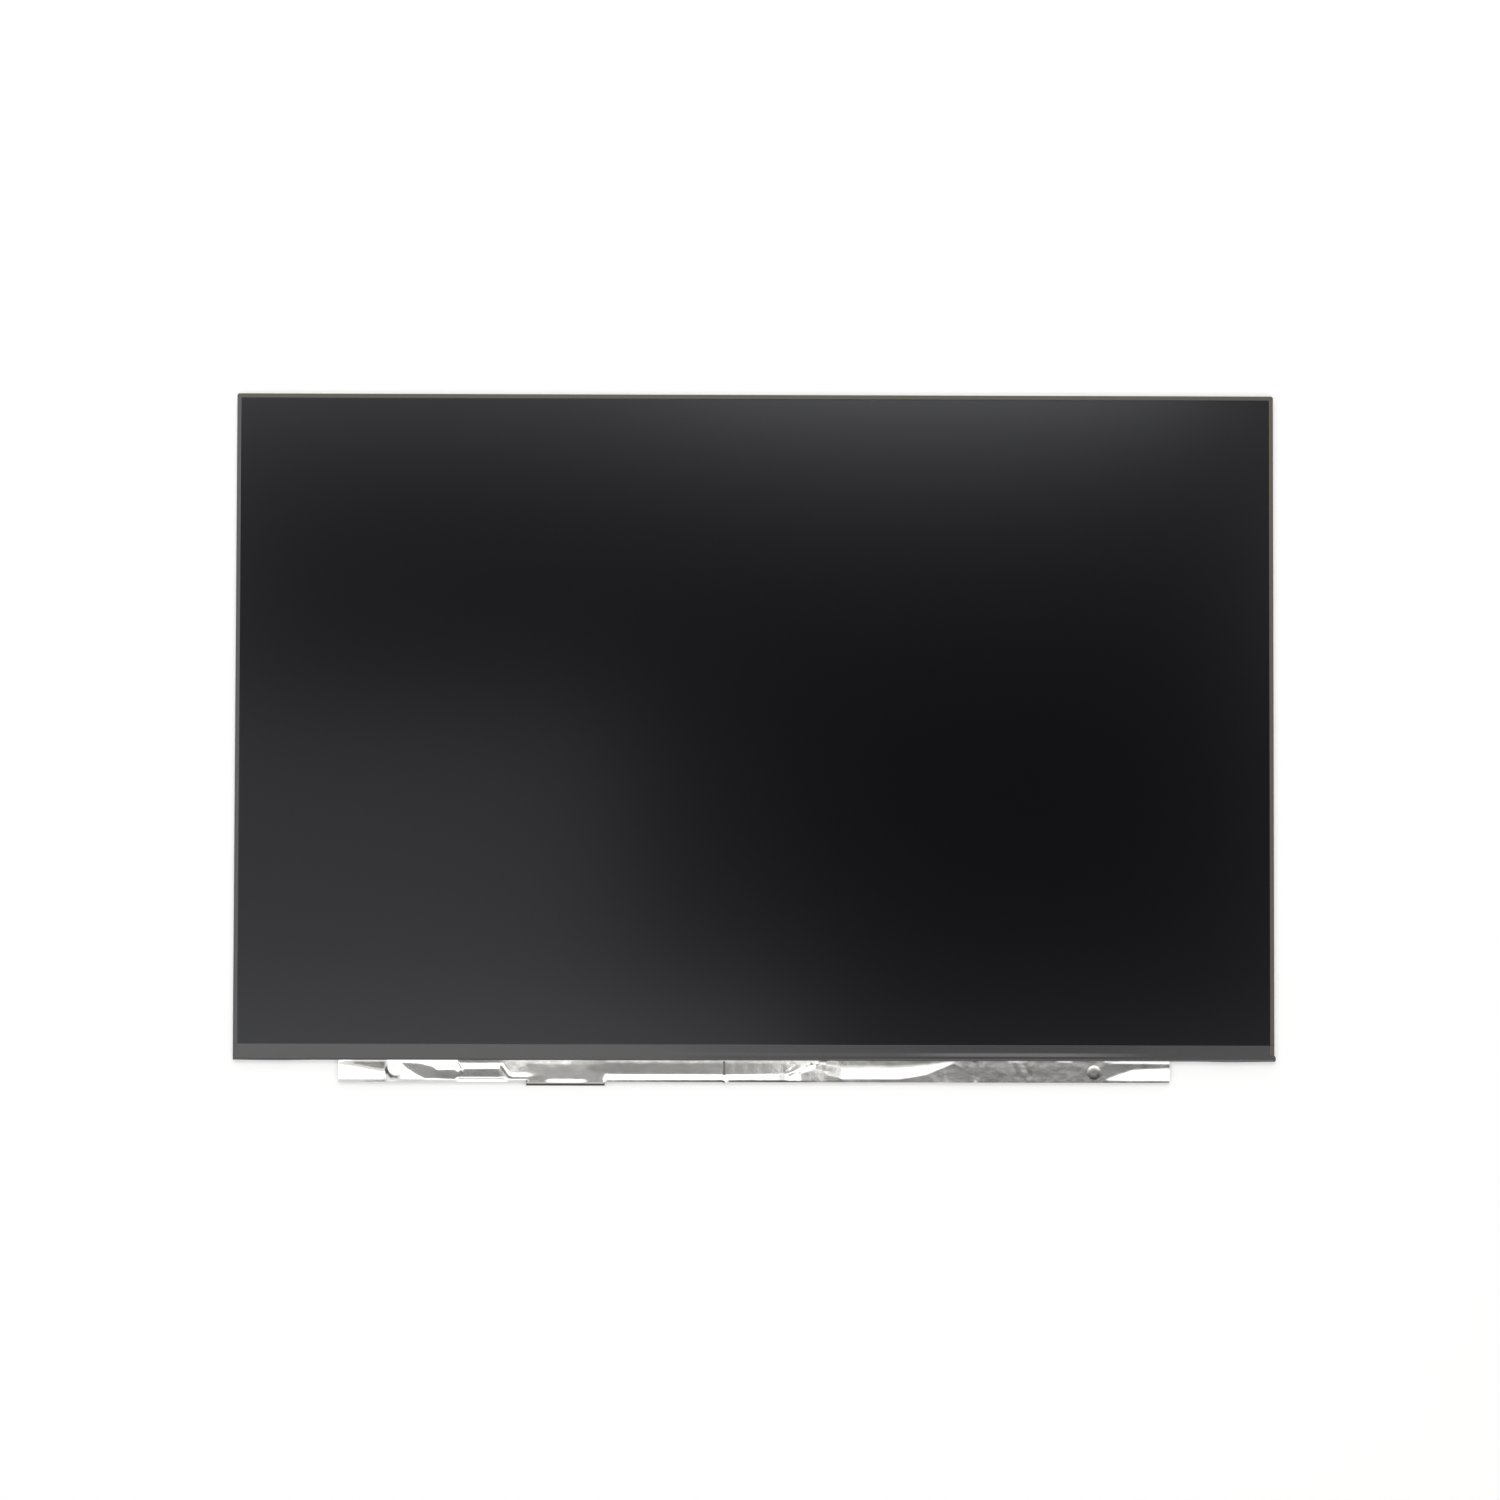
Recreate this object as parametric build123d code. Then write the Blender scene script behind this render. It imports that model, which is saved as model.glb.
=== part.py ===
"""Laptop screen panel of 16.0 inch diagonal, without brackets, lying on its back.

A liquid crystal cell lies on an edge-lit backlight in a folded metal cover.
The control board hangs below the lower edge under a creased foil shield.
X runs along the width, Y up the screen and Z out of the screen, in millimetres.
The origin is the middle of the cover's flat rear face.
"""

import os
from math import acos, cos, degrees, radians, sin

from build123d import *

# Lit screen
screen_width = 344.68
screen_height = 215.42

# Cell: two glasses between two polarisers
polariser_margin = 0.95
glass_border = 1.63
glass_corner = 0.7
ledge_width = 5.5
filter_overhang = 0.4
front_polariser_thickness = 0.15
filter_thickness = 0.3
tft_thickness = 0.3
rear_polariser_thickness = 0.12
glass_fit = 0.15

# Backlight stack
reflector_thickness = 0.15
guide_thickness = 0.55
diffuser_thickness = 0.12
prism_thickness = 0.13
film_headroom = 0.07
stack_clearance = 0.25
ear_length = 6.0
ear_reach = 0.6
ear_spacing = 120.0

# Rear cover, folded from sheet metal
cover_thickness = 0.3
cover_bend_radius = 0.15
cover_fit = 0.05
flange_setback = 0.1
corner_relief = 1.2
pilot_hole_radius = 1.5
pilot_hole_inset = 14.0

# Mould frame and the catches that hold it in the cover
frame_wall = 1.5
bar_wall = 0.8
catch_length = 4.0
catch_height = 0.35
catch_setback = 0.08
catch_clearance = 0.1
catch_pitch = 45.0

# Tapes
tape_thickness = 0.08
rim_gap = 0.35
tape_overlap = 0.5
ledge_tape_gap = 0.1
roll_radius = 0.45
roll_clearance = 0.06
rim_tape_thickness = 0.15
rim_tape_setback = 0.4
rear_polariser_gap = 0.2

# Light bar
led_length = 3.0
led_depth = 0.9
led_pitch = 6.8
led_headroom = 0.05
led_back_gap = 0.25
led_front_gap = 0.1
led_window_depth = 0.1
led_window_rim = 0.12
flex_thickness = 0.1
flex_grip = 1.0
flex_fit = 0.03
film_gap = 0.2
tail_width = 9.0
tail_x = 100.0
tail_grip = 1.5
slot_clearance = 0.25

# Drivers on the glass ledge and the flexes to the board
driver_length = 24.0
driver_depth = 1.0
driver_spacing = 78.0
driver_count = 4
driver_inset = 0.6
driver_headroom = 0.06
ledge_flex_width = 40.0
ledge_flex_spacing = 156.0
flex_bond = 1.2
flex_lead = 0.05

# Control board
board_width = 278.0
board_depth = 6.6
board_thickness = 0.5
board_gap = 0.45
board_drop = 0.25
board_corner = 0.5
board_hole_radius = 1.9
left_hole_inset = 18.3
right_hole_inset = 24.7

# Display connector
contact_count = 40
contact_pitch = 0.5
contact_width = 0.2
contact_thickness = 0.12
contact_setback = 0.3
contact_tail = 0.6
connector_x = -63.4
connector_end = 3.4
connector_depth = 3.6
connector_height = 1.05
connector_reach = 0.75
shell_thickness = 0.15
shell_foot = 0.6
shell_foot_length = 1.2
shell_lip = 0.8
housing_base = 0.3
housing_back = 0.8
housing_cheek = 0.8

# Foil shield over the board
foil_thickness = 0.08
foil_slack = 0.2
foil_edge_lift = 0.02
foil_side_margin = 0.7
foil_edge_gap = 0.06
foil_lip_gap = 0.12
foil_step = 0.8
foil_return = 1.2
foil_dish_depth = 0.2
foil_dish_margin = 1.0
foil_dish_fold = 0.6
foil_notch_clearance = 0.4

# Creases of the foil: place along the board, and how far the outer fold lies from the lower edge
foil_creases = [
    (-138.2, 4.4), (-124.5, 3.4), (-105.0, 0.6), (-99.0, 1.6), (-84.0, 0.5),
    (-51.0, 0.5), (-44.0, 2.1), (-11.5, 2.0), (-10.0, 0.5), (-8.5, 2.0), (10.5, 2.6),
    (19.5, 0.6), (24.0, 3.4), (49.0, 3.8), (62.5, 2.8), (68.0, 0.5), (123.0, 3.0), (138.2, 3.2),
]

# Parts on the back of the board
part_clearance = 0.3
package_chamfer = 0.1
pin_mark_radius = 0.25
pin_mark_inset = 0.6
pin_mark_depth = 0.05
inductor_size = 3.2
inductor_height = 0.95
inductor_corner = 0.5
inductor_groove = 0.2
inductor_groove_width = 1.4
passive_length = 1.0
passive_width = 0.5
passive_pitch = 1.6
passive_row_spacing = 2.2
passive_columns_count = 3
end_cap = 0.25
end_cap_proud = 0.04
capacitor_height = 0.5
resistor_height = 0.35

# Chip packages: node, place along the board, length, depth and height
packages = [
    ("timing_controller", -24.0, 10.0, 4.6, 0.85),
    ("memory_chip", -11.5, 3.0, 2.0, 0.6),
    ("power_chip", 36.0, 4.0, 4.0, 0.75),
    ("light_driver_chip", 80.0, 4.0, 4.0, 0.75),
]
inductor_places = [28.5, 43.5, 73.5, 86.5]

# Runs of small parts: place of the first along the board
capacitor_runs = [-45.0, -36.0, -7.0, 49.0, 64.0]
resistor_runs = [-100.0, 6.0]

# Plan of the panel: the glass and the cover share one outline
half_width = screen_width / 2 + polariser_margin + glass_border
panel_height = screen_height + 2 * polariser_margin + glass_border + ledge_width
top_y = panel_height / 2
bottom_y = -panel_height / 2
polariser_half_width = half_width - glass_border
covered_half_width = half_width + tape_thickness
polariser_top_y = top_y - glass_border
polariser_bottom_y = bottom_y + ledge_width
filter_bottom_y = polariser_bottom_y - filter_overhang
screen_mid_y = polariser_bottom_y + polariser_margin + screen_height / 2
tape_joint_y = polariser_top_y + rim_gap

# Plan of the frame and what lies in it
frame_half_width = half_width - cover_thickness - cover_fit
frame_top_y = top_y - cover_thickness - cover_fit
frame_bottom_y = bottom_y + cover_thickness + cover_fit
bar_inner_y = frame_bottom_y + bar_wall
tft_bottom_y = bar_inner_y + glass_fit
window_half_width = frame_half_width - frame_wall
window_top_y = frame_top_y - frame_wall
led_low_y = bar_inner_y + led_back_gap
guide_bottom_y = led_low_y + led_depth + led_front_gap
light_flex_top_y = guide_bottom_y + flex_grip
film_bottom_y = light_flex_top_y + film_gap
shelf_inner_y = film_bottom_y - film_gap / 2

# Heights, from the cover's rear face to the front of the screen
reflector_z = cover_thickness
guide_z = reflector_z + reflector_thickness
diffuser_z = guide_z + guide_thickness
lower_prism_z = diffuser_z + diffuser_thickness
upper_prism_z = lower_prism_z + prism_thickness
frame_top_z = upper_prism_z + prism_thickness + film_headroom
flange_top_z = frame_top_z - flange_setback
tft_z = frame_top_z + rim_tape_thickness
ledge_z = tft_z + tft_thickness
filter_top_z = ledge_z + filter_thickness
front_z = filter_top_z + front_polariser_thickness
light_flex_z = diffuser_z
shelf_z = light_flex_z + flex_thickness + flex_fit

# Board and connector
board_top_y = bottom_y - board_gap
board_bottom_y = board_top_y - board_depth
board_mid_y = (board_top_y + board_bottom_y) / 2
board_front_z = ledge_z - board_drop
board_rear_z = board_front_z - board_thickness
left_hole_x = left_hole_inset - board_width / 2
right_hole_x = board_width / 2 - right_hole_inset
contact_span = (contact_count - 1) * contact_pitch
connector_half_width = contact_span / 2 + connector_end
mouth_y = board_bottom_y - connector_reach
connector_back_y = mouth_y + connector_depth
shell_front_y = mouth_y - shell_lip
connector_low_z = board_rear_z - connector_height
parts_low_y = board_bottom_y + foil_return + part_clearance
parts_mid_y = (parts_low_y + board_top_y - part_clearance) / 2

# Foil levels and ends
foil_half_width = board_width / 2 + foil_side_margin
foil_flat_z = board_front_z + flex_thickness + foil_slack + foil_thickness

# Places that repeat
ledge_flex_places = [-ledge_flex_spacing / 2, ledge_flex_spacing / 2]
hole_places = [left_hole_x, right_hole_x]


def rectangle(left, right, low, high):
    """Rectangle in plan between two x and two y values."""
    return Pos((left + right) / 2, (low + high) / 2) * Rectangle(right - left, high - low)


def sheet(outline, low_z, thickness):
    """A plan outline made solid upwards from a height."""
    return Pos(0, 0, low_z) * extrude(outline, thickness)


def run_along_x(section, left, right):
    """A section drawn in y and z, run along x."""
    return extrude(Plane.YZ.offset(left) * section, right - left)


def run_along_y(section, low, high):
    """A section drawn in x and z, run along y."""
    return extrude(Plane.XZ.offset(-high) * section, high - low)


def polygon(*points):
    """A closed section through its corners."""
    return make_face(Polyline(*points, close=True))


def centred_places(length, pitch):
    """Evenly pitched places along a length, centred on zero."""
    count = int(length / pitch) + 1
    return [(number - (count - 1) / 2) * pitch for number in range(count)]


def group(solids):
    """Separate solids that share one node."""
    return Compound(children=list(solids))


def make_front_polariser():
    """Matt front film, smaller than the glass."""
    outline = rectangle(-polariser_half_width, polariser_half_width, polariser_bottom_y, polariser_top_y)
    return sheet(outline, filter_top_z, front_polariser_thickness)


def glass_outline(low_y, grown=0.0):
    """The glass in plan with its ground upper corners, grown by a tape's thickness where one wraps it."""
    outline = rectangle(-half_width - grown, half_width + grown, low_y, top_y + grown)
    return fillet(outline.vertices().sort_by(Axis.Y)[-2:], glass_corner + grown)


def make_filter_glass():
    """Front glass with the colour filter, which leaves the ledge of the rear glass bare."""
    return sheet(glass_outline(filter_bottom_y), ledge_z, filter_thickness)


def make_tft_glass():
    """Rear glass with the switching transistors, longer at the lower edge."""
    return sheet(glass_outline(tft_bottom_y), tft_z, tft_thickness)


def window_outline(gap):
    """The frame's window in plan, taken in by a gap."""
    half = window_half_width - gap
    return rectangle(-half, half, shelf_inner_y + gap, window_top_y - gap)


def make_rear_polariser():
    """Film on the back of the cell, inside the window of the rim tape."""
    thickness = rear_polariser_thickness
    return sheet(window_outline(rear_polariser_gap), tft_z - thickness, thickness)


def make_rim_tape():
    """Black double-sided frame of tape between the mould frame and the cell."""
    reach = half_width - rim_tape_setback
    outer = rectangle(-reach, reach, tft_bottom_y, top_y - rim_tape_setback)
    return sheet(outer - window_outline(0), frame_top_z, rim_tape_thickness)


def stack_outline(low_y, gap):
    """A sheet of the backlight in plan with its keying ears, grown by a gap."""
    reach = window_half_width - stack_clearance + gap
    outline = rectangle(-reach, reach, low_y - gap, window_top_y - stack_clearance + gap)
    for ear_y in (screen_mid_y - ear_spacing / 2, screen_mid_y + ear_spacing / 2):
        ear_half = ear_length / 2 + gap
        ear_end = reach + ear_reach
        outline += rectangle(-ear_end, ear_end, ear_y - ear_half, ear_y + ear_half)
    return outline


def make_rear_cover():
    """Tray of sheet metal with four upturned flanges, slotted for the frame's catches."""
    outer_radius = cover_bend_radius + cover_thickness
    tray = sheet(rectangle(-half_width, half_width, bottom_y, top_y), 0, flange_top_z)
    tray = fillet(tray.faces().sort_by(Axis.Z)[0].edges(), outer_radius)
    inner_half = half_width - cover_thickness
    inside = rectangle(-inner_half, inner_half, bottom_y + cover_thickness, top_y - cover_thickness)
    hollow = sheet(inside, cover_thickness, flange_top_z)
    hollow = fillet(hollow.faces().sort_by(Axis.Z)[0].edges(), cover_bend_radius)
    tray -= hollow
    relief = Box(2 * corner_relief, 2 * corner_relief, 2 * flange_top_z)
    tray -= [Pos(x, y, flange_top_z) * relief for x in (-half_width, half_width) for y in (bottom_y, top_y)]
    tray -= [place * catch_slot() for place in catch_places()]
    tray -= tail_slot(flange_top_z - light_flex_z)
    hole = Cylinder(pilot_hole_radius, 4 * cover_thickness)
    hole_x = half_width - pilot_hole_inset
    hole_y = top_y - pilot_hole_inset
    tray -= [Pos(x, y) * hole for x in (-hole_x, hole_x) for y in (-hole_y, hole_y)]
    return tray


def catch_levels():
    """Lower and upper level of a catch, half way up the flange."""
    low = (cover_thickness + flange_top_z - catch_height) / 2
    return low, low + catch_height


def make_catch():
    """A catch on the frame's wall, drawn outwards along y: flat below, with a ramp for snapping in."""
    low, high = catch_levels()
    reach = cover_fit + cover_thickness - catch_setback
    root = -cover_fit
    section = polygon((root, low), (reach, low), (reach, (low + high) / 2), (0, high), (root, high))
    return run_along_x(section, -catch_length / 2, catch_length / 2)


def catch_slot():
    """The slot punched through a flange for one catch."""
    low, high = catch_levels()
    half = catch_length / 2 + catch_clearance
    outline = rectangle(-half, half, 0, 2 * (cover_fit + cover_thickness))
    return sheet(outline, low - catch_clearance, high - low + 2 * catch_clearance)


def catch_places():
    """Places of the catches, evenly pitched along the four outer walls of the frame."""
    long_side = 2 * (frame_half_width - corner_relief - catch_length)
    short_side = frame_top_y - frame_bottom_y - 2 * (corner_relief + catch_length)
    mid_y = (frame_top_y + frame_bottom_y) / 2
    places = []
    for place in centred_places(long_side, catch_pitch):
        places.append(Pos(place, frame_top_y))
        places.append(Pos(place, frame_bottom_y) * Rot(0, 0, 180))
    for place in centred_places(short_side, catch_pitch):
        places.append(Pos(frame_half_width, mid_y + place) * Rot(0, 0, -90))
        places.append(Pos(-frame_half_width, mid_y + place) * Rot(0, 0, 90))
    return places


def tail_slot(height):
    """Space through the lower wall for the light bar's tail."""
    half = tail_width / 2 + slot_clearance
    slot = rectangle(tail_x - half, tail_x + half, bottom_y - slot_clearance, bar_inner_y + slot_clearance)
    return sheet(slot, light_flex_z - slot_clearance, height + 2 * slot_clearance)


def make_mould_frame():
    """Moulded frame: three low walls, a shelf over the light bar and a tall lower bar."""
    outer = rectangle(-frame_half_width, frame_half_width, frame_bottom_y, frame_top_y)
    frame = sheet(outer, cover_thickness, frame_top_z - cover_thickness)
    frame = chamfer(frame.faces().sort_by(Axis.Z)[0].edges(), cover_bend_radius)
    opening = stack_outline(bar_inner_y + stack_clearance, stack_clearance)
    frame -= sheet(opening, 0, front_z)
    shelf = rectangle(-frame_half_width, frame_half_width, bar_inner_y, shelf_inner_y)
    frame += sheet(shelf, shelf_z, frame_top_z - shelf_z)
    rounded_y = bottom_y + roll_radius
    rounded_z = filter_top_z - roll_radius
    bar_low_z = flange_top_z + cover_fit
    corner = RadiusArc((bottom_y, rounded_z), (rounded_y, filter_top_z), roll_radius)
    rest = Polyline(
        (rounded_y, filter_top_z), (bar_inner_y, filter_top_z), (bar_inner_y, bar_low_z),
        (bottom_y, bar_low_z), (bottom_y, rounded_z),
    )
    frame += run_along_x(make_face(corner + rest), -half_width, half_width)
    frame += [place * make_catch() for place in catch_places()]
    for place in ledge_flex_places:
        half = ledge_flex_width / 2 + slot_clearance
        high_y = bar_inner_y + slot_clearance
        notch = rectangle(place - half, place + half, bottom_y - slot_clearance, high_y)
        frame -= sheet(notch, ledge_z - flex_fit, filter_thickness + flex_fit + slot_clearance)
    frame -= tail_slot(flex_thickness)
    return frame


def make_edge_tape(part):
    """Black edge tape over a part of the plan: a lip on the front glass and a wall down the side."""
    low_z = flange_top_z - tape_overlap
    low_y = bottom_y + roll_radius
    covered = glass_outline(low_y, tape_thickness) & part
    bare_half = polariser_half_width + rim_gap
    bare = rectangle(-bare_half, bare_half, low_y, tape_joint_y)
    ledge = rectangle(-covered_half_width, covered_half_width, low_y, polariser_bottom_y)
    wall = sheet(covered - glass_outline(low_y), low_z, filter_top_z - low_z)
    return wall + sheet(covered - bare - ledge, filter_top_z, tape_thickness)


def make_edge_tape_top():
    """The tape round the top edge and its two corners."""
    reach = covered_half_width
    return make_edge_tape(rectangle(-reach, reach, tape_joint_y, top_y + tape_thickness))


def make_edge_tape_right():
    """The tape down the right side, between the top tape and the ledge tape."""
    return make_edge_tape(rectangle(0, covered_half_width, bottom_y, tape_joint_y))


def make_ledge_tape():
    """Black tape over the glass ledge, rolled over the rounded edge of the lower bar."""
    drop = filter_thickness - flex_thickness - roll_clearance
    angle = degrees(acos(1 - drop / roll_radius))
    centre = (bottom_y + roll_radius, filter_top_z - roll_radius)

    def on_roll(radius, turn):
        """A point at a radius from the roll's centre, turned outwards from straight up."""
        return (centre[0] - radius * sin(radians(turn)), centre[1] + radius * cos(radians(turn)))

    high_y = polariser_bottom_y - ledge_tape_gap
    outer_radius = roll_radius + tape_thickness
    under = Polyline((high_y, filter_top_z), on_roll(roll_radius, 0))
    under += RadiusArc(on_roll(roll_radius, 0), on_roll(roll_radius, angle), -roll_radius)
    end = Polyline(on_roll(roll_radius, angle), on_roll(outer_radius, angle))
    over = RadiusArc(on_roll(outer_radius, angle), on_roll(outer_radius, 0), outer_radius)
    high_z = filter_top_z + tape_thickness
    over += Polyline(on_roll(outer_radius, 0), (high_y, high_z), (high_y, filter_top_z))
    return run_along_x(make_face(under + end + over), -covered_half_width, covered_half_width)


def make_led(place):
    """One side-view light: a block with a shallow window towards the light guide."""
    height = guide_thickness - led_headroom
    body = rectangle(place - led_length / 2, place + led_length / 2, led_low_y, led_low_y + led_depth)
    light = sheet(body, light_flex_z - height, height)
    half = led_length / 2 - led_window_rim
    front_y = led_low_y + led_depth
    window = rectangle(place - half, place + half, front_y - led_window_depth, front_y)
    return light - sheet(window, light_flex_z - height + led_window_rim, height - 2 * led_window_rim)


def make_leds():
    """The row of lights along the lower edge of the light guide."""
    row = 2 * (window_half_width - stack_clearance) - led_pitch
    return group(make_led(place) for place in centred_places(row, led_pitch))


def make_light_flex():
    """Flexible circuit on top of the lights, with a tail bent to the back of the board."""
    reach = window_half_width - stack_clearance
    strip = sheet(rectangle(-reach, reach, led_low_y, light_flex_top_y), light_flex_z, flex_thickness)
    board_z = board_rear_z - flex_thickness
    path = [
        (led_low_y, light_flex_z), (bottom_y - flex_lead, light_flex_z),
        (board_top_y - flex_lead, board_z), (board_top_y - tail_grip, board_z),
    ]
    half = tail_width / 2
    return strip + run_along_x(flex_section(path), tail_x - half, tail_x + half)


def flex_section(path):
    """Section of a flexible circuit that lies on a path of y and z points."""
    return polygon(*path, *[(y, z + flex_thickness) for y, z in reversed(path)])


def make_ledge_flexes():
    """Flexible circuits from the glass ledge, over the lower bar, to the front of the board."""
    path = [
        (tft_bottom_y + flex_bond, ledge_z), (bottom_y - flex_lead, ledge_z),
        (board_top_y - flex_lead, board_front_z), (board_top_y - flex_bond, board_front_z),
    ]
    half = ledge_flex_width / 2
    return group(run_along_x(flex_section(path), place - half, place + half) for place in ledge_flex_places)


def make_driver_chips():
    """Driver chips bonded straight to the glass ledge, under the ledge tape."""
    mid_y = filter_bottom_y - driver_inset - driver_depth / 2
    height = filter_thickness - driver_headroom
    chips = []
    for number in range(driver_count):
        place = (number - (driver_count - 1) / 2) * driver_spacing
        outline = Pos(place, mid_y) * Rectangle(driver_length, driver_depth)
        chips.append(sheet(outline, ledge_z, height))
    return group(chips)


def make_control_board():
    """Long narrow circuit board with a tooling hole near each end."""
    outline = Pos(0, board_mid_y) * RectangleRounded(board_width, board_depth, board_corner)
    for place in hole_places:
        outline -= Pos(place, board_mid_y) * Circle(board_hole_radius)
    return sheet(outline, board_rear_z, board_thickness)


def make_package(place, length, depth, height):
    """A chip on the back of the board, with chamfered edges and a dimple at its first pin."""
    low_z = board_rear_z - height
    outline = Pos(place, parts_mid_y) * Rectangle(length, depth)
    chip = sheet(outline, low_z, height)
    chip = chamfer(chip.faces().sort_by(Axis.Z)[0].edges(), package_chamfer)
    mark_x = place - length / 2 + pin_mark_inset
    mark_y = parts_mid_y + depth / 2 - pin_mark_inset
    return chip - sheet(Pos(mark_x, mark_y) * Circle(pin_mark_radius), low_z, pin_mark_depth)


def make_inductors():
    """Power inductors: blocks with cut corners and a groove for the winding on two sides."""
    half = inductor_size / 2
    outline = Rectangle(inductor_size, inductor_size)
    outline = chamfer(outline.vertices(), inductor_corner)
    groove_half = inductor_groove_width / 2
    outline -= rectangle(-half, inductor_groove - half, -groove_half, groove_half)
    outline -= rectangle(half - inductor_groove, half, -groove_half, groove_half)
    block = sheet(outline, board_rear_z - inductor_height, inductor_height)
    return group(Pos(place, parts_mid_y) * block for place in inductor_places)


def make_passives(runs, height):
    """Small two-ended parts in columns of two, each with an end cap that stands a little proud."""
    half = passive_length / 2
    wide = passive_width + 2 * end_cap_proud
    body_height = height - end_cap_proud
    part = sheet(Rectangle(passive_length, passive_width), board_rear_z - body_height, body_height)
    for side in (-1, 1):
        cap = Pos(side * (half - end_cap / 2)) * Rectangle(end_cap, wide)
        part += sheet(cap, board_rear_z - height, height)
    places = []
    for first in runs:
        for number in range(passive_columns_count):
            for row in (-passive_row_spacing / 2, passive_row_spacing / 2):
                places.append(Pos(first + number * passive_pitch, parts_mid_y + row))
    return group(place * part for place in places)


def contact_place(number):
    """Where one contact of the connector lies along the board."""
    return connector_x + (number - (contact_count - 1) / 2) * contact_pitch


def make_contact(place):
    """One contact: a blade in the mouth, a riser through the housing and a tail on the board."""
    blade_z = board_rear_z - housing_base
    riser_y = connector_back_y - housing_back / 2
    riser_end_y = riser_y + contact_thickness
    tail_y = connector_back_y + contact_tail
    tail_z = board_rear_z - contact_thickness
    start_y = mouth_y + contact_setback
    section = polygon(
        (start_y, blade_z - contact_thickness / 2), (riser_end_y, blade_z - contact_thickness / 2),
        (riser_end_y, tail_z), (tail_y, tail_z), (tail_y, board_rear_z), (riser_y, board_rear_z),
        (riser_y, blade_z + contact_thickness / 2), (start_y, blade_z + contact_thickness / 2),
    )
    return run_along_x(section, place - contact_width / 2, place + contact_width / 2)


def make_connector_contacts():
    """The row of contacts."""
    return group(make_contact(contact_place(number)) for number in range(contact_count))


def make_connector_housing():
    """Moulded housing: a base on the board, a back wall and two cheeks round the mouth."""
    half = connector_half_width - shell_thickness
    height = connector_height - shell_thickness
    low_z = board_rear_z - height
    plan = rectangle(connector_x - half, connector_x + half, mouth_y, connector_back_y)
    housing = sheet(plan, low_z, height)
    mouth_half = contact_span / 2 + housing_cheek
    mouth_back_y = connector_back_y - housing_back
    mouth = rectangle(connector_x - mouth_half, connector_x + mouth_half, mouth_y, mouth_back_y)
    housing -= sheet(mouth, low_z, height - housing_base)
    return housing - [make_contact(contact_place(number)) for number in range(contact_count)]


def make_connector_shell():
    """Folded metal shell: a plate behind the housing with a lip past its mouth, ends and soldered feet."""
    half = connector_half_width
    inner = half - shell_thickness
    inner_z = connector_low_z + shell_thickness
    foot_z = board_rear_z - shell_thickness
    right = [
        (inner, inner_z), (inner, board_rear_z), (half + shell_foot, board_rear_z),
        (half + shell_foot, foot_z), (half, foot_z), (half, connector_low_z),
    ]
    left = [(-x, z) for x, z in reversed(right)]
    section = Pos(connector_x) * polygon(*right, *left)
    shell = run_along_y(section, shell_front_y, connector_back_y)
    foot_low_y = board_bottom_y + (connector_back_y - board_bottom_y - shell_foot_length) / 2
    foot_high_y = foot_low_y + shell_foot_length
    reach = half + shell_foot
    for low, high in ((shell_front_y, foot_low_y), (foot_high_y, connector_back_y)):
        for side in (-1, 1):
            inside, outside = sorted((connector_x + side * half, connector_x + side * reach))
            shell -= sheet(rectangle(inside, outside, low, high), foot_z, shell_thickness)
    return shell


def foil_section(fold):
    """Section of the foil: lip beside the ledge tape, flat, outer fold, edge and return under the board."""
    lip_y = bottom_y - foil_lip_gap
    lip_z = ledge_z + flex_thickness + flex_fit + foil_thickness
    edge_y = board_bottom_y - foil_edge_gap - foil_thickness
    deepest_fold = max(distance for _, distance in foil_creases)
    slope = (flex_thickness + foil_slack - foil_edge_lift) / deepest_fold
    edge_z = foil_flat_z - slope * fold
    return_y = board_bottom_y + foil_return
    thick = foil_thickness
    outside = [
        (lip_y, lip_z), (lip_y - foil_step, foil_flat_z), (edge_y + fold, foil_flat_z), (edge_y, edge_z),
        (edge_y, board_rear_z - thick), (return_y, board_rear_z - thick),
    ]
    inner_y = edge_y + thick
    inner_z = foil_flat_z - thick
    inside = [
        (return_y, board_rear_z), (inner_y, board_rear_z), (inner_y, edge_z + slope * thick - thick),
        (edge_y + fold, inner_z), (lip_y - foil_step, inner_z), (lip_y, lip_z - thick),
    ]
    return polygon(*outside, *inside)


def foil_stations():
    """Creases along the foil from end to end, with a flat kept round each dish."""
    reach = board_hole_radius + foil_dish_margin
    stations = [(place + side * reach, foil_dish_fold) for place in hole_places for side in (-1, 1)]
    for place, fold in foil_creases:
        on_foil = abs(place) < foil_half_width
        clear_of_dishes = all(abs(place - hole) > reach for hole in hole_places)
        if on_foil and clear_of_dishes:
            stations.append((place, fold))
    stations.sort()
    return [(-foil_half_width, stations[0][1]), *stations, (foil_half_width, stations[-1][1])]


def foil_dish(place):
    """The foil pressed into a tooling hole of the board: a shallow round dish with a flat floor."""
    rim = board_hole_radius
    floor = rim - foil_dish_depth
    low_z = foil_flat_z - foil_dish_depth
    section = polygon(
        (0, low_z), (floor, low_z), (rim, foil_flat_z), (rim, foil_flat_z - foil_thickness),
        (floor, low_z - foil_thickness), (0, low_z - foil_thickness),
    )
    return Pos(place, board_mid_y) * revolve(Plane.XZ * section, Axis.Z)


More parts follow.
